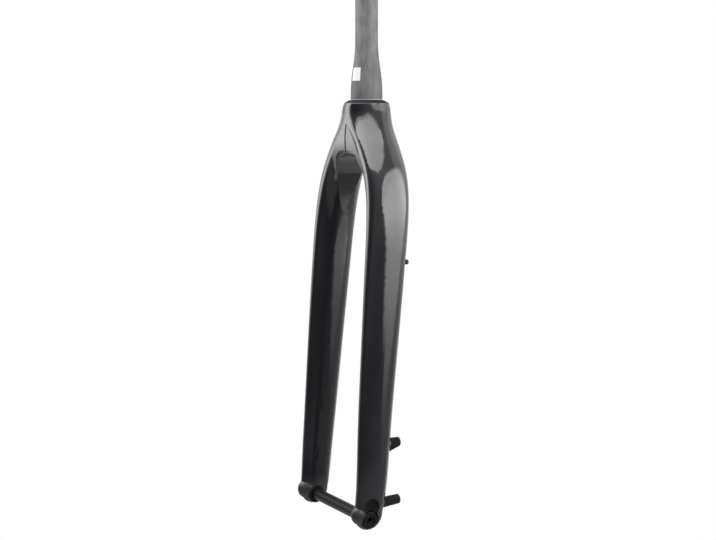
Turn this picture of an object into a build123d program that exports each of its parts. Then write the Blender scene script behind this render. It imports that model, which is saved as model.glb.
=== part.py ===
"""Rigid bicycle fork with a tapered steerer, moulded crown and blades, and a bolt-through axle.

The frame has +Z up the steerer axis, -Y to the front of the bicycle and +X to the rider's left.
The origin is on the steerer axis at the shoulder that the lower headset race sits on.
"""

import os

from build123d import *

os.makedirs("parts", exist_ok=True)

# Steerer tube
STEERER_D = 28.6
STEERER_BORE_D = 23.0
STEERER_LENGTH = 300.0
STEERER_EDGE = 0.5
RACE_SEAT_D = 39.8
RACE_SEAT_LENGTH = 9.0
TAPER_END = 72.0
SPIGOT_D = 38.6
SPIGOT_BORE_D = 31.0
SOCKET_DEPTH = 46.0
SOCKET_LEDGE = 2.0

# Crown
CROWN_D = 57.4
CROWN_ROUND = 5.0
CROWN_FLAT_D = 43.6
CROWN_RIM_D = 55.2
CROWN_RIM_DROP = 3.1
WEB_VALLEY = 0.05
WEB_GROOVE = 2.0
WEB_GROOVE_DEPTH = 1.6
ARCH_DROP = 67.5
ARCH_FULL = 28.0
ARCH_SHOULDER = 36.0
ARCH_SHOULDER_DROP = 86.5
ARCH_FOOT = 44.0
ARCH_FOOT_DROP = 160.0

# Wheel space and axle
HUB_WIDTH = 110.0
AXLE_DROP = 516.0
AXLE_OFFSET = 42.0
AXLE_D = 15.0
AXLE_CLEARANCE = 0.1
AXLE_BORE_D = 9.0
AXLE_END = 0.5
HEAD_D = 21.0
HEAD_LENGTH = 4.6
HEAD_CLEARANCE = 0.6
HEAD_EDGE = 1.0
HEX_ACROSS = 6.0
HEX_DEPTH = 8.0
HEX_WALL = 6.0
DISH_D = 13.0
DISH_DEPTH = 1.6

# Dropouts: the blade ends in a round toe, with a knob in front that is placed from the hub face
# and the axle
TOE_DROP = 20.4
KNOB_OUT = 10.2
KNOB_AHEAD = 7.4
KNOB_RISE = 6.6
KNOB_HALF_WIDTH = 9.6
KNOB_HALF_DEPTH = 15.0
KNOB_HALF_HEIGHT = 13.5
HUB_SEAT_D = 24.0
HUB_SEAT_BEVEL = 1.0
HEAD_SEAT = 14.4
SCOOP_R = 14.0
SCOOP_UP = 16.0
NUT_D = 20.0
NUT_SEAT = 3.0
NUT_LENGTH = 16.2

# Brake posts on the left blade, placed from the hub face and the axle
POST_SPACING = 74.0
POST_D = 12.0
POST_OUT = 7.0
POST_BEHIND = 49.0
POST_LENGTH = 32.0
LOWER_POST_RISE = 16.2
UPPER_ROOT_HALF = 12.0
UPPER_ROOT_DROP = 5.0
LOWER_ROOT_HALF = 7.0
LOWER_ROOT_DROP = 1.0
INSERT_D = 8.0
INSERT_LENGTH = 16.0
THREAD_D = 5.0

# Hose guide screw on the back of the left blade, at its uppermost station
GUIDE_HEAD_D = 6.4
GUIDE_HEAD = 2.8
GUIDE_NECK_D = 4.0
GUIDE_NECK = 2.4
GUIDE_DEPTH = 9.0

# Ellipses that the crown and one blade are drawn through, from the top down: the drop below the
# origin, the centre out from the middle plane and ahead of the steerer axis, the half width across
# and the half depth fore and aft.
CROWN_STATIONS = [
    (CROWN_ROUND, 0.0, 0.0, CROWN_D / 2, CROWN_D / 2),
    (20.0, 0.5, 0.8, 34.5, 29.8),
    (35.0, 8.5, 1.8, 33.0, 29.2),
    (50.0, 22.0, 2.8, 28.0, 28.8),
    (66.0, 34.0, 3.4, 24.8, 28.6),
    (85.0, 45.4, 4.2, 22.5, 28.6),
    (110.0, 54.4, 5.7, 20.0, 28.8),
    (150.0, 60.3, 9.0, 17.3, 28.8),
]

# The same for the blade below the crown: the rise above the axle, the centre out from the hub face
# and behind the axle, the half width and the half depth.
BLADE_STATIONS = [
    (316.5, 6.9, 28.7, 15.2, 28.3),
    (216.0, 8.4, 20.1, 13.0, 26.2),
    (96.0, 10.1, 10.3, 11.6, 23.2),
    (46.0, 11.3, 6.5, 11.0, 21.8),
    (22.0, 10.9, 4.2, 10.7, 20.9),
    (6.0, 10.4, 1.8, 10.4, 20.0),
]

# Flared mouth of the arch, from the inside out: how far ahead of the steerer axis, and how much the
# arch opens up there.
FLARE_STATIONS = [(24.5, 0.0), (29.4, 1.8), (31.5, 6.0), (34.0, 12.0)]

# Plans of the web that closes the fork of the crown, from the top down: the drop below the origin,
# the half width, and the front and rear faces from the steerer axis.
WEB_STATIONS = [
    (30.0, 3.0, 30.3, 20.0),
    (66.0, 30.0, 30.5, 20.0),
    (88.0, 39.0, 25.0, 16.0),
]

half_hub = HUB_WIDTH / 2
head_seat = half_hub + HEAD_SEAT
head_face = head_seat + HEAD_LENGTH
nut_seat = half_hub + NUT_SEAT
nut_face = nut_seat + NUT_LENGTH
axle_end = nut_face - AXLE_END
scoop_x = head_seat + SCOOP_R
post_x = half_hub + POST_OUT
post_face = POST_BEHIND - AXLE_OFFSET
lower_post = LOWER_POST_RISE - AXLE_DROP
upper_post = lower_post + POST_SPACING
guide_rise, guide_out, guide_behind, guide_width, guide_depth = BLADE_STATIONS[0]
guide_x = half_hub + guide_out
guide_seat = guide_behind + guide_depth - AXLE_OFFSET
guide_z = guide_rise - AXLE_DROP
toe_rise, toe_out, toe_behind, toe_width, toe_depth = BLADE_STATIONS[-1]
toe_place = (half_hub + toe_out, toe_behind - AXLE_OFFSET, toe_rise - AXLE_DROP)
knob_place = (half_hub + KNOB_OUT, -KNOB_AHEAD - AXLE_OFFSET, KNOB_RISE - AXLE_DROP)

with BuildPart() as toe:
    Sphere(1)
    scale(by=(toe_width, toe_depth, TOE_DROP))
    split(bisect_by=Plane.XY, keep=Keep.BOTTOM)

with BuildPart() as knob:
    Sphere(1)
    scale(by=(KNOB_HALF_WIDTH, KNOB_HALF_DEPTH, KNOB_HALF_HEIGHT))

with BuildPart() as hub_seat:
    with BuildSketch(Plane.YZ.offset(half_hub)):
        with Locations((-AXLE_OFFSET, -AXLE_DROP)):
            Circle(HUB_SEAT_D / 2)
    extrude(amount=toe_out)
    chamfer(hub_seat.edges().group_by(Axis.X)[0], HUB_SEAT_BEVEL)

with BuildPart() as fork_body:
    # One blade, from the round crown down to the axle, and its mirror image
    for drop, out, ahead, half_width, half_depth in CROWN_STATIONS:
        with BuildSketch(Plane((out, -ahead, -drop))):
            Ellipse(half_width, half_depth)
    for rise, out, behind, half_width, half_depth in BLADE_STATIONS:
        with BuildSketch(Plane((half_hub + out, behind - AXLE_OFFSET, rise - AXLE_DROP))):
            Ellipse(half_width, half_depth)
    loft()
    add(toe.part.moved(Location(toe_place)))
    add(knob.part.moved(Location(knob_place)))
    add(hub_seat.part)
    split(bisect_by=Plane.YZ, keep=Keep.TOP)
    mirror(about=Plane.YZ)
    # Rounded shoulder under the headset race
    with BuildSketch(Plane.XZ):
        with BuildLine():
            Line((0, -CROWN_ROUND), (0, 0))
            Line((0, 0), (CROWN_FLAT_D / 2, 0))
            Line((CROWN_FLAT_D / 2, 0), (CROWN_RIM_D / 2, -CROWN_RIM_DROP))
            TangentArc(
                (CROWN_D / 2, -CROWN_ROUND),
                (CROWN_RIM_D / 2, -CROWN_RIM_DROP),
                tangent=(0, 1),
            )
            Line((CROWN_D / 2, -CROWN_ROUND), (0, -CROWN_ROUND))
        make_face()
    revolve(axis=Axis.Z)
    # Web between the roots of the blades, with a shallow valley down the middle of its front
    for drop, half, front, rear in WEB_STATIONS:
        with BuildSketch(Plane.XY.offset(-drop)):
            with BuildLine():
                Polyline(
                    (-half, rear),
                    (half, rear),
                    (half, -front - WEB_VALLEY * half),
                    (0, -front),
                    (-half, -front - WEB_VALLEY * half),
                    close=True,
                )
            make_face()
    loft()
    # Groove down the middle of the web
    with BuildSketch(Plane.XY.offset(-ARCH_DROP)):
        with BuildLine():
            Polyline(
                (0, WEB_GROOVE_DEPTH - WEB_STATIONS[1][2]),
                (WEB_GROOVE / 2, -WEB_STATIONS[1][2]),
                (WEB_GROOVE / 2, -CROWN_D),
                (-WEB_GROOVE / 2, -CROWN_D),
                (-WEB_GROOVE / 2, -WEB_STATIONS[1][2]),
                close=True,
            )
        make_face()
    extrude(amount=ARCH_DROP - WEB_STATIONS[0][0], mode=Mode.SUBTRACT)
    # Arch over the tyre
    with BuildSketch(Plane.XZ):
        with BuildLine():
            Bezier(
                (0, -ARCH_DROP),
                (ARCH_FULL, -ARCH_DROP),
                (ARCH_SHOULDER, -ARCH_SHOULDER_DROP),
                (ARCH_FOOT, -ARCH_FOOT_DROP),
            )
            Line((ARCH_FOOT, -ARCH_FOOT_DROP), (0, -ARCH_FOOT_DROP))
            mirror(about=Plane.YZ)
        make_face()
    extrude(amount=CROWN_D, both=True, mode=Mode.SUBTRACT)
    # Flared mouth of the arch
    for ahead, flare in FLARE_STATIONS:
        with BuildSketch(Plane.XZ.offset(ahead)):
            with BuildLine():
                Bezier(
                    (0, flare - ARCH_DROP),
                    (ARCH_FULL + flare, flare - ARCH_DROP),
                    (ARCH_SHOULDER + flare / 2, -ARCH_SHOULDER_DROP),
                    (ARCH_FOOT, -ARCH_FOOT_DROP),
                )
                Line((ARCH_FOOT, -ARCH_FOOT_DROP), (0, -ARCH_FOOT_DROP))
                mirror(about=Plane.YZ)
            make_face()
    loft(mode=Mode.SUBTRACT)
    # Brake posts
    for height, half, drop in (
        (upper_post, UPPER_ROOT_HALF, UPPER_ROOT_DROP),
        (lower_post, LOWER_ROOT_HALF, LOWER_ROOT_DROP),
    ):
        with BuildSketch(Plane((post_x, post_face, height), x_dir=(1, 0, 0), z_dir=(0, -1, 0))):
            Circle(POST_D / 2)
        root = (post_x, post_face - POST_LENGTH, height - drop)
        with BuildSketch(Plane(root, x_dir=(1, 0, 0), z_dir=(0, -1, 0))):
            Ellipse(POST_D / 2, half)
        loft()
    # Scooped seat for the axle head, and the holes
    with Locations((scoop_x, -AXLE_OFFSET, SCOOP_UP - AXLE_DROP)):
        Sphere(SCOOP_R, mode=Mode.SUBTRACT)
    with Locations(Plane((scoop_x, -AXLE_OFFSET, -AXLE_DROP), z_dir=(1, 0, 0))):
        CounterBoreHole(
            radius=AXLE_D / 2 + AXLE_CLEARANCE,
            counter_bore_radius=HEAD_D / 2 + HEAD_CLEARANCE,
            counter_bore_depth=SCOOP_R,
            depth=SCOOP_R + HEAD_SEAT,
        )
    with Locations(Plane((-scoop_x, -AXLE_OFFSET, -AXLE_DROP), z_dir=(-1, 0, 0))):
        CounterBoreHole(
            radius=AXLE_D / 2 + AXLE_CLEARANCE,
            counter_bore_radius=NUT_D / 2,
            counter_bore_depth=scoop_x - nut_seat,
            depth=scoop_x - half_hub,
        )
    with Locations(
        Plane((post_x, post_face, upper_post), z_dir=(0, 1, 0)),
        Plane((post_x, post_face, lower_post), z_dir=(0, 1, 0)),
    ):
        Hole(INSERT_D / 2, depth=INSERT_LENGTH)
    with Locations(Plane.XY):
        CounterBoreHole(
            radius=SPIGOT_D / 2 - SOCKET_LEDGE,
            counter_bore_radius=SPIGOT_D / 2,
            counter_bore_depth=SOCKET_DEPTH,
            depth=ARCH_FOOT_DROP,
        )
    with Locations(Plane((guide_x, guide_seat + GUIDE_NECK, guide_z), z_dir=(0, 1, 0))):
        Hole(GUIDE_NECK_D / 2, depth=GUIDE_NECK + GUIDE_DEPTH)

with BuildPart() as steerer_tube:
    with BuildSketch(Plane.XZ):
        with BuildLine():
            Line((SPIGOT_BORE_D / 2, -SOCKET_DEPTH), (SPIGOT_D / 2, -SOCKET_DEPTH))
            Line((SPIGOT_D / 2, -SOCKET_DEPTH), (SPIGOT_D / 2, 0))
            Line((SPIGOT_D / 2, 0), (RACE_SEAT_D / 2, 0))
            Line((RACE_SEAT_D / 2, 0), (RACE_SEAT_D / 2, RACE_SEAT_LENGTH))
            Spline(
                (RACE_SEAT_D / 2, RACE_SEAT_LENGTH),
                (STEERER_D / 2, TAPER_END),
                tangents=[(0, 1), (0, 1)],
            )
            Line((STEERER_D / 2, TAPER_END), (STEERER_D / 2, STEERER_LENGTH))
            Line((STEERER_D / 2, STEERER_LENGTH), (STEERER_BORE_D / 2, STEERER_LENGTH))
            Line((STEERER_BORE_D / 2, STEERER_LENGTH), (STEERER_BORE_D / 2, TAPER_END))
            Spline(
                (STEERER_BORE_D / 2, TAPER_END),
                (SPIGOT_BORE_D / 2, RACE_SEAT_LENGTH),
                tangents=[(0, -1), (0, -1)],
            )
            Line((SPIGOT_BORE_D / 2, RACE_SEAT_LENGTH), (SPIGOT_BORE_D / 2, -SOCKET_DEPTH))
        make_face()
    revolve(axis=Axis.Z)
    chamfer(steerer_tube.edges().group_by(Axis.Z)[-1], STEERER_EDGE)

with BuildPart() as thru_axle:
    with BuildSketch(Plane.YZ.offset(-axle_end)):
        with Locations((-AXLE_OFFSET, -AXLE_DROP)):
            Circle(AXLE_D / 2)
    extrude(amount=axle_end + head_seat)
    with BuildSketch(Plane.YZ.offset(head_seat)):
        with Locations((-AXLE_OFFSET, -AXLE_DROP)):
            Circle(HEAD_D / 2)
    extrude(amount=HEAD_LENGTH)
    fillet(thru_axle.edges().group_by(Axis.X)[-1], HEAD_EDGE)
    with Locations(Plane((-axle_end, -AXLE_OFFSET, -AXLE_DROP), z_dir=(-1, 0, 0))):
        Hole(AXLE_BORE_D / 2, depth=axle_end + head_face - HEX_DEPTH - HEX_WALL)
    with Locations(Plane((head_face, -AXLE_OFFSET, -AXLE_DROP), z_dir=(1, 0, 0))):
        Hole(DISH_D / 2, depth=DISH_DEPTH)
    with BuildSketch(Plane((head_face, -AXLE_OFFSET, -AXLE_DROP), z_dir=(1, 0, 0))):
        RegularPolygon(HEX_ACROSS / 2, 6, major_radius=False)
    extrude(amount=-HEX_DEPTH, mode=Mode.SUBTRACT)

with BuildPart() as axle_nut:
    with BuildSketch(Plane.YZ.offset(-nut_face)):
        with Locations((-AXLE_OFFSET, -AXLE_DROP)):
            Circle(NUT_D / 2)
            Circle(AXLE_D / 2, mode=Mode.SUBTRACT)
    extrude(amount=NUT_LENGTH)

with BuildPart() as post_inserts:
    for height in (upper_post, lower_post):
        with BuildSketch(Plane((post_x, post_face, height), z_dir=(0, 1, 0))):
            Circle(INSERT_D / 2)
            Circle(THREAD_D / 2, mode=Mode.SUBTRACT)
    extrude(amount=-INSERT_LENGTH)

with BuildPart() as guide_screw:
    with BuildSketch(Plane((guide_x, guide_seat - GUIDE_DEPTH, guide_z), z_dir=(0, 1, 0))):
        Circle(GUIDE_NECK_D / 2)
    extrude(amount=GUIDE_DEPTH + GUIDE_NECK)
    with BuildSketch(Plane((guide_x, guide_seat + GUIDE_NECK, guide_z), z_dir=(0, 1, 0))):
        Circle(GUIDE_HEAD_D / 2)
    extrude(amount=GUIDE_HEAD)

for piece, name in (
    (fork_body, "fork_body"),
    (steerer_tube, "steerer_tube"),
    (thru_axle, "thru_axle"),
    (axle_nut, "axle_nut"),
    (post_inserts, "post_inserts"),
    (guide_screw, "guide_screw"),
):
    piece.part.label = name
    export_step(piece.part, f"parts/{name}.step")
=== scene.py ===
"""Studio view of a rigid bicycle fork: gloss black legs, bare carbon steerer and a bolt-through axle."""

import math
from collections import namedtuple

import bpy
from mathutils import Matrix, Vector


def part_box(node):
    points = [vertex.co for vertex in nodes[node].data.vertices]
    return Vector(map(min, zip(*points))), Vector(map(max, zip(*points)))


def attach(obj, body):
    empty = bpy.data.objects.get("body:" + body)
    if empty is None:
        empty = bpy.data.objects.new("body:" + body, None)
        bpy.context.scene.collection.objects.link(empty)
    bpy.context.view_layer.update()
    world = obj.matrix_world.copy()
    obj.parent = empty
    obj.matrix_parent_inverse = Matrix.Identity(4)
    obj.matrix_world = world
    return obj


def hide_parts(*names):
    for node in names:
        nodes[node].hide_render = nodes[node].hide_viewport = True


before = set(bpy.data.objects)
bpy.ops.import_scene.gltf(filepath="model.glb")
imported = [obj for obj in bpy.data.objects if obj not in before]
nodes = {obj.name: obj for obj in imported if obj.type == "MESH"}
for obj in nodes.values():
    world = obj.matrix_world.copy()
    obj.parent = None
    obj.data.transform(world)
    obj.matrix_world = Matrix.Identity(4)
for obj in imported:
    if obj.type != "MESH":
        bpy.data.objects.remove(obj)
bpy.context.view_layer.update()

# Sizes and places are in metres. Angles are in degrees, and a turn goes from the front to the rider's
# left. A pair of values is where a soft change begins and where it ends.

# Camera: its place, the turn and rise that it looks from, and its lens and frame width in millimetres
CAMERA_PLACE = (1.2525, -0.8254, -0.036)
CAMERA_TURN = 57.025
CAMERA_RISE = 6.787
CAMERA_LENS = 59.495
CAMERA_FRAME = 36.0
CAMERA_NEAR = 0.01

# Floor: it takes the fork's shadow near the middle, and it fades to white further out
FLOOR_HEIGHT = -1.5
FLOOR_WIDTH = 3.0
FLOOR_FADE = (0.6, 1.4)
FLOOR_GREY = 0.6
FLOOR_IN_REFLECTIONS = 0.2

# Lamps: the watts that make a square metre of a lamp white, and where the three lamps are
LAMP_WATTS = 4.0
CROWN_MIDDLE = Vector((0.0, 0.0, -0.05))
OVERHEAD_OFFSET = Vector((0.0, -1.1, 1.2))
SIDE_TURN = 128.0
SIDE_DISTANCE = 1.7
SIDE_SHIFT = -0.4
SIDE_HEIGHT = 0.2
FRONT_TURN = -50.0
FRONT_RISE = 3.0
FRONT_DISTANCE = 1.05

# Room: its dim level away from its pale patches, and the white that the camera sees
ROOM_LEVEL = 0.045
WHITE = (1.0, 1.0, 1.0, 1.0)

# Paper label on the steerer
LABEL_WIDTH = 0.0154
LABEL_HEIGHT = 0.0164
LABEL_THICKNESS = 0.00012
LABEL_MIDDLE = 0.032
LABEL_TURN = 10.5
LABEL_RADIUS = 0.0195
LABEL_GAP = 0.00003

# Hose guide screw: head, hexagon socket, and a neck that reaches a little into the head
SCREW_HEAD_LENGTH = 0.0028
SCREW_EDGE = 0.0005
SOCKET_ACROSS = 0.003
SOCKET_DEPTH = 0.0017
NECK_RADIUS = 0.002
NECK_OVERLAP = 0.0002
NECK_EDGE = 0.0003

# Brake post inserts and their M6 thread
INSERT_RADIUS = 0.004
INSERT_EDGE = 0.0004
THREAD_PITCH = 0.001
THREAD_ROOT = 0.003
THREAD_CREST = 0.0025
THREAD_START = 0.0012
THREAD_SPARE_TURNS = 2
RIDGE_RADIUS = 0.0005

# Satin toes, the matt posts, axle seats and headset shoulder, and painted shade in the scoop over the axle
# head
TOE_HEIGHT = (-0.51, -0.484)
BLADE_LEAN = 0.12
POST_ROOT = (0.0424, 0.0434)
POST_REACH = (0.0105, 0.0125)
AXLE_SEAT_REACH = (0.0105, 0.013)
SHOULDER_HEIGHT = (-0.0042, -0.0034)
SCOOP_MIDDLE = (0.0834, -0.042, -0.5)
SCOOP_RADIUS = 0.014
SCOOP_RIM = (0.00005, 0.0005)
SATIN_ROUGHNESS = 0.42
MATT_ROUGHNESS = 0.85
MATT_AND_SHADE_METALLIC = 0.62

# Painted shade: thinner coat inside the legs and under the arch, and none on the neck's front corners
INNER_FACING = (0.3, 0.9)
INNER_BACK = (0.12, 0.3)
INNER_TOP = (-0.17, -0.13)
UNDER_FACING = (0.2, 0.6)
UNDER_BACK = (0.0, 0.02)
CORNER_SIDE = (0.005, 0.009)
CORNER_BACK = (-0.013, -0.008)
CORNER_FOOT = (-0.02, -0.013)
PAINTED_SHADE_SHARE = 0.8

# Swelling that shades the top of the crown as a steeper wall
BROW_START = -0.034
BROW_FOOT = -0.0155
BROW_TOP = -0.005
BROW_DEPTH = 0.0006
BROW_CURVE = 13.0

# Steerer: the pale line at its foot, the darker stretch above, and what its mottling is made of
FOOT_LINE = (0.0009, 0.0014)
DARK_STRETCH = (0.015, 0.11)
DARK_CALM = 0.5
DARK_SHADE = 0.07
MOTTLE_CONTRAST = (0.34, 0.66)
MOTTLE_SHARE = 0.55
MARK_CONTRAST = (0.3, 0.7)
MARK_SHARE = 0.35
GRAIN_SHARE = 0.1
GRAIN_BUMP = 0.5

# Depth of the finest bumps
FINE_BUMP = 0.00001

# Sockets of a Mix node that mixes colours
MIX_LOW = 6
MIX_HIGH = 7
MIX_RESULT = 2

# Shading of a lamp along one way over its face, which across and up give. Dark and full are places on
# that way, from the face's middle: at dark only the share left shines, and at full all of the light does.
Flag = namedtuple("Flag", "across up dark full left")


class Wire:
    """A socket in a node tree. Arithmetic on it adds Math nodes, and node() adds any other node."""

    def __init__(self, tree, socket=None):
        self.tree = tree
        self.socket = socket

    def plug(self, target, value):
        if isinstance(value, Wire):
            self.tree.links.new(value.socket, target)
        else:
            target.default_value = value

    def node(self, kind, settings=None, inputs=None, output=0):
        made = self.tree.nodes.new("ShaderNode" + kind)
        for name, value in (settings or {}).items():
            setattr(made, name, value)
        for name, value in (inputs or {}).items():
            self.plug(made.inputs[name], value)
        return Wire(self.tree, made.outputs[output])

    def maths(self, operation, *values):
        return self.node("Math", {"operation": operation}, dict(enumerate(values)))

    def __add__(self, other):
        return self.maths("ADD", self, other)

    def __radd__(self, other):
        return self.maths("ADD", other, self)

    def __sub__(self, other):
        return self.maths("SUBTRACT", self, other)

    def __rsub__(self, other):
        return self.maths("SUBTRACT", other, self)

    def __mul__(self, other):
        return self.maths("MULTIPLY", self, other)

    def __rmul__(self, other):
        return self.maths("MULTIPLY", other, self)

    def __neg__(self):
        return 0.0 - self

    def __abs__(self):
        return self.maths("ABSOLUTE", self)

    def larger(self, other):
        return self.maths("MAXIMUM", self, other)

    def smaller(self, other):
        return self.maths("MINIMUM", self, other)

    def smooth(self, low, high):
        """0 below low and 1 above high, with a soft step between them."""
        settings = {"interpolation_type": "SMOOTHSTEP"}
        return self.node("MapRange", settings, {"Value": self, "From Min": low, "From Max": high})

    def ranged(self, low, high):
        """Low at 0 and high at 1."""
        return low + self * (high - low)


def new_material(name):
    """An empty material, its wire to add nodes with, and its shader's sockets."""
    material = bpy.data.materials.new(name)
    material.use_nodes = True
    return material, Wire(material.node_tree), material.node_tree.nodes["Principled BSDF"].inputs


def object_place(wire):
    return wire.node("TexCoord", output="Object")


def along(wire, place, axis):
    """One coordinate of a place: X, Y or Z."""
    return wire.node("SeparateXYZ", inputs={"Vector": place}, output=axis)


def stretched(wire, place, scale, middle=(0.0, 0.0, 0.0)):
    """Object coordinates counted from a middle, and scaled."""
    moved = wire.node("VectorMath", {"operation": "SUBTRACT"}, {0: place, 1: middle})
    return wire.node("Mapping", inputs={"Vector": moved, "Scale": scale})


def distance(wire, place, middle, ways=(1.0, 1.0, 1.0)):
    """How far a place is from a middle, along the ways that are 1."""
    apart = stretched(wire, place, ways, middle)
    return wire.node("VectorMath", {"operation": "LENGTH"}, {0: apart}, output="Value")


def noise(wire, place, scale=1.0, detail=3.0, roughness=0.6):
    inputs = {"Vector": place, "Scale": scale, "Detail": detail, "Roughness": roughness}
    return wire.node("TexNoise", inputs=inputs)


def between(wire, mask, low, high):
    """A colour between low and high. Low may also be a wire that carries a colour."""
    low = low if isinstance(low, Wire) else (*low, 1.0)
    inputs = {"Factor": mask, MIX_LOW: low, MIX_HIGH: (*high, 1.0)}
    return wire.node("Mix", {"data_type": "RGBA"}, inputs, output=MIX_RESULT)


def bump(wire, height, depth, strength, normal=None):
    inputs = {"Height": height, "Distance": depth, "Strength": strength}
    if normal:
        inputs["Normal"] = normal
    return wire.node("Bump", inputs=inputs)


def soft_edges(wire, radius):
    """The surface's normal, with its sharp edges rounded over by a radius."""
    return wire.node("Bevel", {"samples": 8}, {"Radius": radius})


def middle_of(name):
    """Middle of a CAD node's box."""
    low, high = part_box(name)
    return tuple((a + b) / 2 for a, b in zip(low, high))


def post_heights():
    """Heights of the axes of the lower and the upper brake post."""
    low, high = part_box("post_inserts")
    return low[2] + INSERT_RADIUS, high[2] - INSERT_RADIUS


def matt_and_scoop_shade_places(wire, place):
    """1 on the matt posts, axle seats and headset shoulder; in the scoop over the axle head it is painted
    shade.
    """
    behind = along(wire, place, "Y")
    height = along(wire, place, "Z")
    lower, upper = post_heights()
    from_middle = abs(height - (lower + upper) / 2)
    from_post = abs(from_middle - (upper - lower) / 2)
    posts = (behind - height * BLADE_LEAN).smooth(*POST_ROOT) * (1.0 - from_post.smooth(*POST_REACH))
    from_axle = distance(wire, place, middle_of("thru_axle"), ways=(0.0, 1.0, 1.0))
    axle_seats = 1.0 - from_axle.smooth(*AXLE_SEAT_REACH)
    # Painted shade: the scoop over the axle head is made matt and darker, as if shade fell in the recess
    into_scoop = distance(wire, place, SCOOP_MIDDLE) - SCOOP_RADIUS
    scoop = 1.0 - into_scoop.smooth(*SCOOP_RIM)
    return posts.larger(axle_seats).larger(height.smooth(*SHOULDER_HEIGHT)).larger(scoop)


def coat_taken_for_painted_shade(wire, place):
    """Coat taken off as painted shade: inside the legs, under the arch and on the neck's front corners."""
    across, behind, height = (along(wire, place, axis) for axis in "XYZ")
    facing = wire.node("TexCoord", output="Normal")
    facing_left, facing_back, facing_up = (along(wire, facing, axis) for axis in "XYZ")
    inward = -(facing_left * wire.maths("SIGN", across))
    inner = inward.smooth(*INNER_FACING) * (1.0 - facing_back.smooth(*INNER_BACK))
    inner = inner * (1.0 - height.smooth(*INNER_TOP))
    under = (-facing_up).smooth(*UNDER_FACING) * (1.0 - behind.smooth(*UNDER_BACK))
    corners = abs(across).smooth(*CORNER_SIDE) * (1.0 - behind.smooth(*CORNER_BACK))
    corners = corners * height.smooth(*CORNER_FOOT)
    return (inner.larger(under) * PAINTED_SHADE_SHARE).larger(corners)


def crown_brow(height):
    """Height of the swelling at the top of the crown."""
    rim = (height.smaller(BROW_TOP) - BROW_FOOT).larger(0.0)
    return rim * rim * BROW_CURVE - height.smooth(BROW_START, BROW_FOOT) * BROW_DEPTH


def gloss_black_carbon():
    """Black laminate under a deep clear coat, with satin toes and matt seats and brake posts."""
    material, wire, shader = new_material("gloss_black_carbon")
    place = object_place(wire)
    height = along(wire, place, "Z")
    satin = 1.0 - height.smooth(*TOE_HEIGHT)
    matt = matt_and_scoop_shade_places(wire, place)
    fibres = noise(wire, stretched(wire, place, scale=(900.0, 900.0, 30.0)))
    black = between(wire, fibres, low=(0.007, 0.0073, 0.009), high=(0.014, 0.0145, 0.017))
    wire.plug(shader["Base Color"], black)
    polish = noise(wire, place, scale=34.0, roughness=0.55).ranged(0.07, 0.11)
    dull = satin * SATIN_ROUGHNESS * (1.0 - matt) + matt * MATT_ROUGHNESS
    wire.plug(shader["Roughness"], polish + dull)
    # Metallic over the near-black base darkens these places; in the scoop over the axle head it is painted
    # shade
    wire.plug(shader["Metallic"], matt * MATT_AND_SHADE_METALLIC)
    # Painted shade: less coat, so darker reflections, inside the legs, under the arch and on the neck's
    # front corners
    wire.plug(shader["Coat Weight"], (1.0 - satin) * (1.0 - coat_taken_for_painted_shade(wire, place)) * (1.0 - matt))
    shader["Coat Roughness"].default_value = 0.085
    waves = noise(wire, place, scale=26.0, detail=1.0, roughness=0.5)
    peel = noise(wire, place, scale=420.0, detail=1.0, roughness=0.5)
    edges = soft_edges(wire, radius=0.0018)
    rounded = bump(wire, crown_brow(height), depth=1.0, strength=1.0, normal=edges)
    skin = bump(wire, waves, depth=0.00035, strength=0.06, normal=rounded)
    wire.plug(shader["Normal"], bump(wire, peel, FINE_BUMP, strength=0.05, normal=skin))
    return material


def raw_carbon():
    """Bare grey laminate: matt, mottled, with faint marks along the tube and a pale line at its foot."""
    material, wire, shader = new_material("raw_carbon")
    place = object_place(wire)
    height = along(wire, place, "Z")
    mottle = noise(wire, stretched(wire, place, scale=(95.0, 95.0, 40.0)), detail=5.0)
    marks = noise(wire, stretched(wire, place, scale=(420.0, 420.0, 14.0)))
    grain = noise(wire, place, scale=1800.0, detail=2.0, roughness=0.5)
    patches = mottle.smooth(*MOTTLE_CONTRAST) * MOTTLE_SHARE + marks.smooth(*MARK_CONTRAST) * MARK_SHARE
    patches = patches + grain * GRAIN_SHARE
    dark = 1.0 - height.smooth(*DARK_STRETCH)
    shade = patches * (1.0 - dark * DARK_CALM) - dark * DARK_SHADE
    body = between(wire, shade, low=(0.078, 0.079, 0.081), high=(0.2, 0.201, 0.205))
    foot = 1.0 - height.smooth(*FOOT_LINE)
    wire.plug(shader["Base Color"], between(wire, foot, low=body, high=(0.3, 0.3, 0.3)))
    wire.plug(shader["Roughness"], mottle.ranged(0.46, 0.62))
    edges = soft_edges(wire, radius=0.0006)
    rough = bump(wire, marks + grain * GRAIN_BUMP, depth=0.00006, strength=0.5, normal=edges)
    wire.plug(shader["Normal"], rough)
    shader["Specular IOR Level"].default_value = 0.4
    return material


def turned_rings(wire, place, scale, axis):
    """Fine lathe rings about an axis."""
    return wire.node(
        "TexWave",
        {"wave_type": "RINGS", "rings_direction": axis},
        {"Vector": place, "Scale": scale, "Distortion": 0.6, "Detail": 2.0, "Detail Scale": 3.0},
    )


def black_anodised():
    """Black anodised aluminium with faint lathe rings."""
    material, wire, shader = new_material("black_anodised")
    place = object_place(wire)
    centred = stretched(wire, place, scale=(1.0, 1.0, 1.0), middle=middle_of("thru_axle"))
    rings = turned_rings(wire, centred, scale=900.0, axis="X")
    dust = noise(wire, place, scale=700.0)
    black = between(wire, dust, low=(0.005, 0.005, 0.006), high=(0.011, 0.011, 0.012))
    wire.plug(shader["Base Color"], black)
    wire.plug(shader["Roughness"], rings.ranged(0.28, 0.36) + dust.ranged(0.0, 0.08))
    edges = soft_edges(wire, radius=0.0004)
    wire.plug(shader["Normal"], bump(wire, rings, FINE_BUMP, strength=0.3, normal=edges))
    shader["Specular IOR Level"].default_value = 0.2
    shader["Metallic"].default_value = 0.3
    return material


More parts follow.
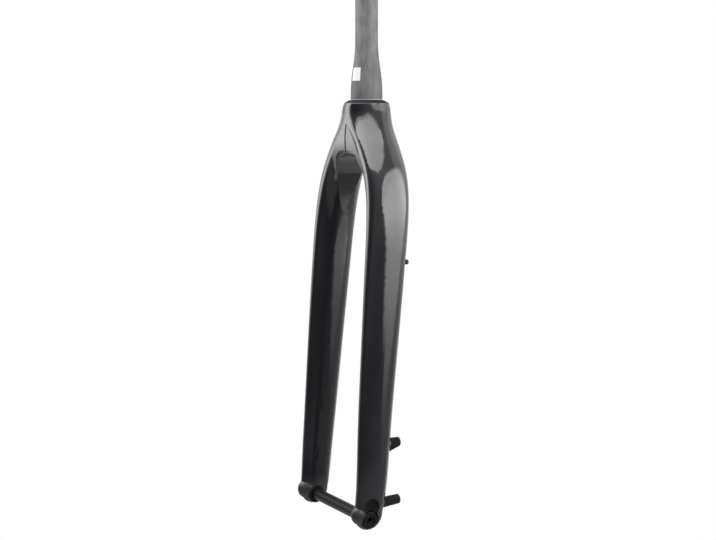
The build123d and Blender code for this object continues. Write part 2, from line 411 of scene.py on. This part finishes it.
def plain_aluminium():
    """Bare turned aluminium."""
    material, wire, shader = new_material("plain_aluminium")
    place = object_place(wire)
    lay = noise(wire, stretched(wire, place, scale=(2600.0, 300.0, 2600.0)))
    stain = noise(wire, place, scale=300.0)
    metal = between(wire, stain, low=(0.5, 0.5, 0.515), high=(0.68, 0.68, 0.69))
    wire.plug(shader["Base Color"], metal)
    wire.plug(shader["Roughness"], lay.ranged(0.26, 0.42))
    edges = soft_edges(wire, radius=0.0003)
    wire.plug(shader["Normal"], bump(wire, lay, FINE_BUMP, strength=0.3, normal=edges))
    shader["Metallic"].default_value = 1.0
    return material


def black_steel():
    """Black oxide on a small steel screw."""
    material, wire, shader = new_material("black_steel")
    blotch = noise(wire, object_place(wire), scale=900.0)
    black = between(wire, blotch, low=(0.012, 0.012, 0.012), high=(0.03, 0.03, 0.03))
    wire.plug(shader["Base Color"], black)
    wire.plug(shader["Roughness"], blotch.ranged(0.32, 0.48))
    edges = soft_edges(wire, radius=0.0002)
    wire.plug(shader["Normal"], bump(wire, blotch, FINE_BUMP, strength=0.3, normal=edges))
    return material


def label_paper():
    """Plain white paper."""
    material, wire, shader = new_material("label_paper")
    fibre = noise(wire, object_place(wire), scale=2400.0, detail=4.0, roughness=0.65)
    white = between(wire, fibre, low=(0.56, 0.56, 0.552), high=(0.66, 0.66, 0.652))
    wire.plug(shader["Base Color"], white)
    wire.plug(shader["Roughness"], fibre.ranged(0.55, 0.7))
    wire.plug(shader["Normal"], bump(wire, fibre, FINE_BUMP, strength=0.25))
    return material


def select(*pieces):
    """Selects these pieces alone, with the first one active."""
    bpy.ops.object.select_all(action="DESELECT")
    for piece in pieces:
        piece.select_set(True)
    if pieces:
        bpy.context.view_layer.objects.active = pieces[0]


def apply_place(piece):
    """Puts a piece's place, turn and size in its mesh."""
    select(piece)
    bpy.ops.object.transform_apply(location=True, rotation=True, scale=True)


def add_modifier(piece, kind, **settings):
    """Adds a modifier and applies it."""
    modifier = piece.modifiers.new(kind.lower(), kind)
    for name, value in settings.items():
        setattr(modifier, name, value)
    select(piece)
    bpy.ops.object.modifier_apply(modifier=modifier.name)


def round_edges(piece, width, segments):
    add_modifier(piece, "BEVEL", width=width, segments=segments, limit_method="ANGLE")


def cut_away(piece, cutter):
    """Takes the cutter's shape out of a piece and removes the cutter."""
    add_modifier(piece, "BOOLEAN", operation="DIFFERENCE", object=cutter, solver="EXACT")
    bpy.data.objects.remove(cutter, do_unlink=True)


def join(pieces, name):
    select(*pieces)
    bpy.ops.object.join()
    joined = bpy.context.object
    joined.name = name
    joined.data.name = name
    return joined


def rod(x, y, z, radius, length, sides=48):
    """A bar along Y, from y forward by its length."""
    select()
    bpy.ops.mesh.primitive_cylinder_add(
        vertices=sides,
        radius=radius,
        depth=length,
        location=(x, y - length / 2, z),
        rotation=(math.pi / 2, 0.0, 0.0),
    )
    bar = bpy.context.object
    apply_place(bar)
    return bar


def finish_piece(piece, material, sharp_angle=32.0):
    """Smooths a piece up to an angle, gives it its material and lets it ride on the fork."""
    select(piece)
    bpy.ops.object.shade_smooth_by_angle(angle=math.radians(sharp_angle))
    piece.data.materials.clear()
    piece.data.materials.append(material)
    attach(piece, "root")


def steerer_label(steerer, material):
    """Blank paper label that follows the taper of the steerer."""
    select()
    turn = math.radians(LABEL_TURN)
    bpy.ops.mesh.primitive_grid_add(
        x_subdivisions=30,
        y_subdivisions=24,
        size=1.0,
        location=(LABEL_RADIUS * math.sin(turn), -LABEL_RADIUS * math.cos(turn), LABEL_MIDDLE),
        rotation=(math.pi / 2, 0.0, turn),
    )
    label = bpy.context.object
    label.name = "steerer_label"
    label.scale = (LABEL_WIDTH, LABEL_HEIGHT, 1.0)
    apply_place(label)
    add_modifier(label, "SHRINKWRAP", target=steerer, wrap_method="NEAREST_SURFACEPOINT", offset=LABEL_GAP)
    add_modifier(label, "SOLIDIFY", thickness=LABEL_THICKNESS, offset=1.0)
    finish_piece(label, material)


def hose_guide_screw(material):
    """Small screw with a rounded head and a hexagon socket."""
    low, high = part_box("guide_screw")
    x, _, z = middle_of("guide_screw")
    front, top = low[1], high[1]
    head = rod(x, top, z, (high[0] - low[0]) / 2, SCREW_HEAD_LENGTH)
    round_edges(head, SCREW_EDGE, segments=4)
    socket_radius = SOCKET_ACROSS / 2 / math.cos(math.pi / 6)
    cut_away(head, rod(x, top + SOCKET_DEPTH, z, socket_radius, 2 * SOCKET_DEPTH, sides=6))
    neck_top = top - SCREW_HEAD_LENGTH + NECK_OVERLAP
    neck = rod(x, neck_top, z, NECK_RADIUS, neck_top - front)
    round_edges(neck, NECK_EDGE, segments=2)
    screw = join([head, neck], "hose_guide_screw")
    finish_piece(screw, material)
    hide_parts("guide_screw")


def thread_ridge(x, y, z, turns):
    """Helical ridge of the thread, starting at y and going forward along the bore."""
    select()
    bpy.ops.mesh.primitive_circle_add(vertices=3, radius=RIDGE_RADIUS, location=(x, y, z))
    ridge = bpy.context.object
    bpy.ops.object.mode_set(mode="EDIT")
    bpy.ops.transform.rotate(value=math.pi / 2, orient_axis="Z", center_override=(x, y, z))
    bpy.ops.transform.translate(value=(THREAD_CREST + RIDGE_RADIUS, 0.0, 0.0))
    bpy.ops.object.mode_set(mode="OBJECT")
    add_modifier(
        ridge,
        "SCREW",
        axis="Y",
        screw_offset=-THREAD_PITCH,
        iterations=turns,
        steps=36,
        render_steps=36,
        use_merge_vertices=True,
    )
    apply_place(ridge)
    return ridge


def post_insert(x, z, front, face, name):
    """Threaded sleeve in a brake post, with a chamfered mouth."""
    length = face - front
    sleeve = rod(x, face, z, INSERT_RADIUS, length, sides=64)
    cut_away(sleeve, rod(x, face + length, z, THREAD_ROOT, 3 * length, sides=64))
    round_edges(sleeve, INSERT_EDGE, segments=2)
    turns = int(length / THREAD_PITCH) - THREAD_SPARE_TURNS
    ridge = thread_ridge(x, face - THREAD_START, z, turns)
    return join([sleeve, ridge], name)


def threaded_inserts(material):
    low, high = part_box("post_inserts")
    x = middle_of("post_inserts")[0]
    for name, z in zip(("post_insert_lower", "post_insert_upper"), post_heights()):
        insert = post_insert(x, z, low[1], high[1], name)
        finish_piece(insert, material)
        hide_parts("post_inserts")


def paint(name, material):
    """Gives a CAD node its material."""
    node = nodes[name]
    node.data.materials.clear()
    node.data.materials.append(material)


def direction(turn, rise=0.0):
    """Unit vector at a turn from the front towards the rider's left, and a rise above level."""
    turn, rise = math.radians(turn), math.radians(rise)
    return Vector((math.sin(turn) * math.cos(rise), -math.cos(turn) * math.cos(rise), math.sin(rise)))


def softbox(name, place, aim, width, height, level, flags):
    """Soft oblong lamp of a given brightness, where 1 is white, shaded by its flags."""
    select()
    bpy.ops.object.light_add(type="AREA", location=place)
    lamp = bpy.context.object
    lamp.name = name
    lamp.rotation_euler = (aim - place).to_track_quat("-Z", "Y").to_euler()
    lamp.visible_camera = False
    lamp.data.shape = "RECTANGLE"
    lamp.data.size = width
    lamp.data.size_y = height
    lamp.data.energy = LAMP_WATTS * width * height * level
    lamp.data.use_nodes = True
    wire = Wire(lamp.data.node_tree)
    share = wire.node("NewGeometry", output="Parametric")
    across = (along(wire, share, "X") - 0.5) * width
    up = (along(wire, share, "Y") - 0.5) * height
    shade = 1.0
    for flag in flags:
        place_on_face = across * flag.across + up * flag.up
        shade = shade * place_on_face.smooth(flag.dark, flag.full).ranged(flag.left, 1.0)
    wire.plug(lamp.data.node_tree.nodes["Emission"].inputs["Strength"], shade)


def overhead_light():
    place = CROWN_MIDDLE + OVERHEAD_OFFSET
    flags = [
        Flag(across=-0.716, up=0.698, dark=-1.15, full=-0.99, left=0.0),
        Flag(across=-0.894, up=-0.447, dark=-1.55, full=-1.43, left=0.0),
        Flag(across=-1.0, up=0.0, dark=-1.4, full=0.5, left=0.62),
    ]
    aim = place - Vector((0.0, 0.0, 1.0))
    softbox("overhead_softbox", place, aim, width=2.8, height=3.2, level=3.0, flags=flags)


def side_light():
    way = direction(SIDE_TURN)
    shift = SIDE_SHIFT * direction(SIDE_TURN + 90.0)
    place = SIDE_DISTANCE * way + shift + Vector((0.0, 0.0, SIDE_HEIGHT))
    flags = [
        Flag(across=0.397, up=0.918, dark=-0.78, full=-0.67, left=0.0),
        Flag(across=0.0, up=1.0, dark=-1.07, full=-0.2, left=0.06),
        Flag(across=0.0, up=-1.0, dark=-0.6, full=-0.05, left=0.78),
        Flag(across=-0.196, up=-0.98, dark=-0.98, full=-0.74, left=0.0),
        Flag(across=-0.743, up=-0.669, dark=-1.91, full=-0.71, left=0.0),
        Flag(across=-0.4, up=0.92, dark=-1.294, full=-1.094, left=0.35),
    ]
    softbox("side_softbox", place, place - way, width=5.6, height=2.3, level=2.9, flags=flags)


def front_light():
    place = CROWN_MIDDLE + FRONT_DISTANCE * direction(FRONT_TURN, FRONT_RISE)
    flags = [
        Flag(across=0.0, up=1.0, dark=-0.45, full=-0.05, left=0.08),
        Flag(across=1.0, up=0.0, dark=-0.45, full=0.1, left=0.2),
        Flag(across=-1.0, up=0.0, dark=-0.4, full=-0.2, left=0.3),
        Flag(across=-0.707, up=0.707, dark=-0.2, full=-0.07, left=0.5),
    ]
    softbox("front_softbox", place, CROWN_MIDDLE, width=0.75, height=1.2, level=2.4, flags=flags)


def seen_rays(wire, glossy_share):
    """1 for what the camera sees, also through glass, and a share for what it sees in a reflection."""
    camera_ray, glass_ray, glossy_ray = (
        wire.node("LightPath", output=f"Is {kind} Ray") for kind in ("Camera", "Transmission", "Glossy")
    )
    return camera_ray.larger(glass_ray).larger(glossy_ray * glossy_share)


def studio_world():
    """White to the camera. Round the fork it is a dim room with a pale wall, ceiling and patches."""
    world = bpy.data.worlds.new("studio")
    bpy.context.scene.world = world
    world.use_nodes = True
    wire = Wire(world.node_tree)
    background = world.node_tree.nodes["Background"].inputs
    way = wire.node("TexCoord", output="Generated")

    def towards(turn, rise):
        inputs = {0: way, 1: direction(turn, rise)}
        return wire.node("VectorMath", {"operation": "DOT_PRODUCT"}, inputs, output="Value")

    def patch(turn, rise, edge, full, level):
        return towards(turn, rise).smooth(edge, full) * level

    wall = patch(turn=CAMERA_TURN + 180.0, rise=0.0, edge=0.2, full=0.8, level=0.35)
    above_floor = towards(turn=0.0, rise=90.0).smooth(-0.2, 0.08)
    near = patch(turn=65.0, rise=0.0, edge=0.5, full=0.95, level=0.23) * above_floor
    left = patch(turn=-75.0, rise=5.0, edge=0.4, full=1.0, level=0.4)
    right = patch(turn=168.0, rise=32.0, edge=0.8, full=0.97, level=0.55)
    ceiling = patch(turn=0.0, rise=90.0, edge=0.15, full=0.65, level=0.4)
    below = patch(turn=0.0, rise=-90.0, edge=0.16, full=0.3, level=0.2)
    room = wall + near + left + right + ceiling + below + ROOM_LEVEL
    seen = seen_rays(wire, wall)
    background["Color"].default_value = WHITE
    wire.plug(background["Strength"], room + seen * (1.0 - room))


def studio_floor():
    """Pale floor well below the fork. Near the fork it takes its shadow, and further off it is white."""
    select()
    bpy.ops.mesh.primitive_plane_add(size=FLOOR_WIDTH, location=(0.0, 0.0, FLOOR_HEIGHT))
    floor = bpy.context.object
    floor.name = "studio_floor"
    apply_place(floor)
    material, wire, shader = new_material("studio_floor")
    shader["Base Color"].default_value = (FLOOR_GREY, FLOOR_GREY, FLOOR_GREY, 1.0)
    shader["Roughness"].default_value = 0.9
    shader["Specular IOR Level"].default_value = 0.0
    reach = distance(wire, object_place(wire), (0.0, 0.0, 0.0), ways=(1.0, 1.0, 0.0))
    white_share = reach.smooth(*FLOOR_FADE) * seen_rays(wire, FLOOR_IN_REFLECTIONS)
    white = wire.node("Emission", inputs={"Color": WHITE, "Strength": 1.0})
    matt = Wire(wire.tree, wire.tree.nodes["Principled BSDF"].outputs[0])
    mixed = wire.node("MixShader", inputs={0: white_share, 1: matt, 2: white})
    wire.plug(wire.tree.nodes["Material Output"].inputs["Surface"], mixed)
    floor.data.materials.append(material)


def studio_camera():
    select()
    bpy.ops.object.camera_add(location=CAMERA_PLACE)
    view = bpy.context.object
    look = -direction(CAMERA_TURN, CAMERA_RISE)
    view.rotation_euler = look.to_track_quat("-Z", "Y").to_euler()
    view.data.sensor_fit = "HORIZONTAL"
    view.data.sensor_width = CAMERA_FRAME
    view.data.lens = CAMERA_LENS
    view.data.clip_start = CAMERA_NEAR
    bpy.context.scene.camera = view


aluminium = plain_aluminium()
paint("fork_body", gloss_black_carbon())
paint("steerer_tube", raw_carbon())
paint("thru_axle", black_anodised())
paint("axle_nut", aluminium)
steerer_label(nodes["steerer_tube"], label_paper())
hose_guide_screw(black_steel())
threaded_inserts(aluminium)
studio_floor()
overhead_light()
side_light()
front_light()
studio_world()
studio_camera()
bpy.context.scene.view_settings.view_transform = "Standard"
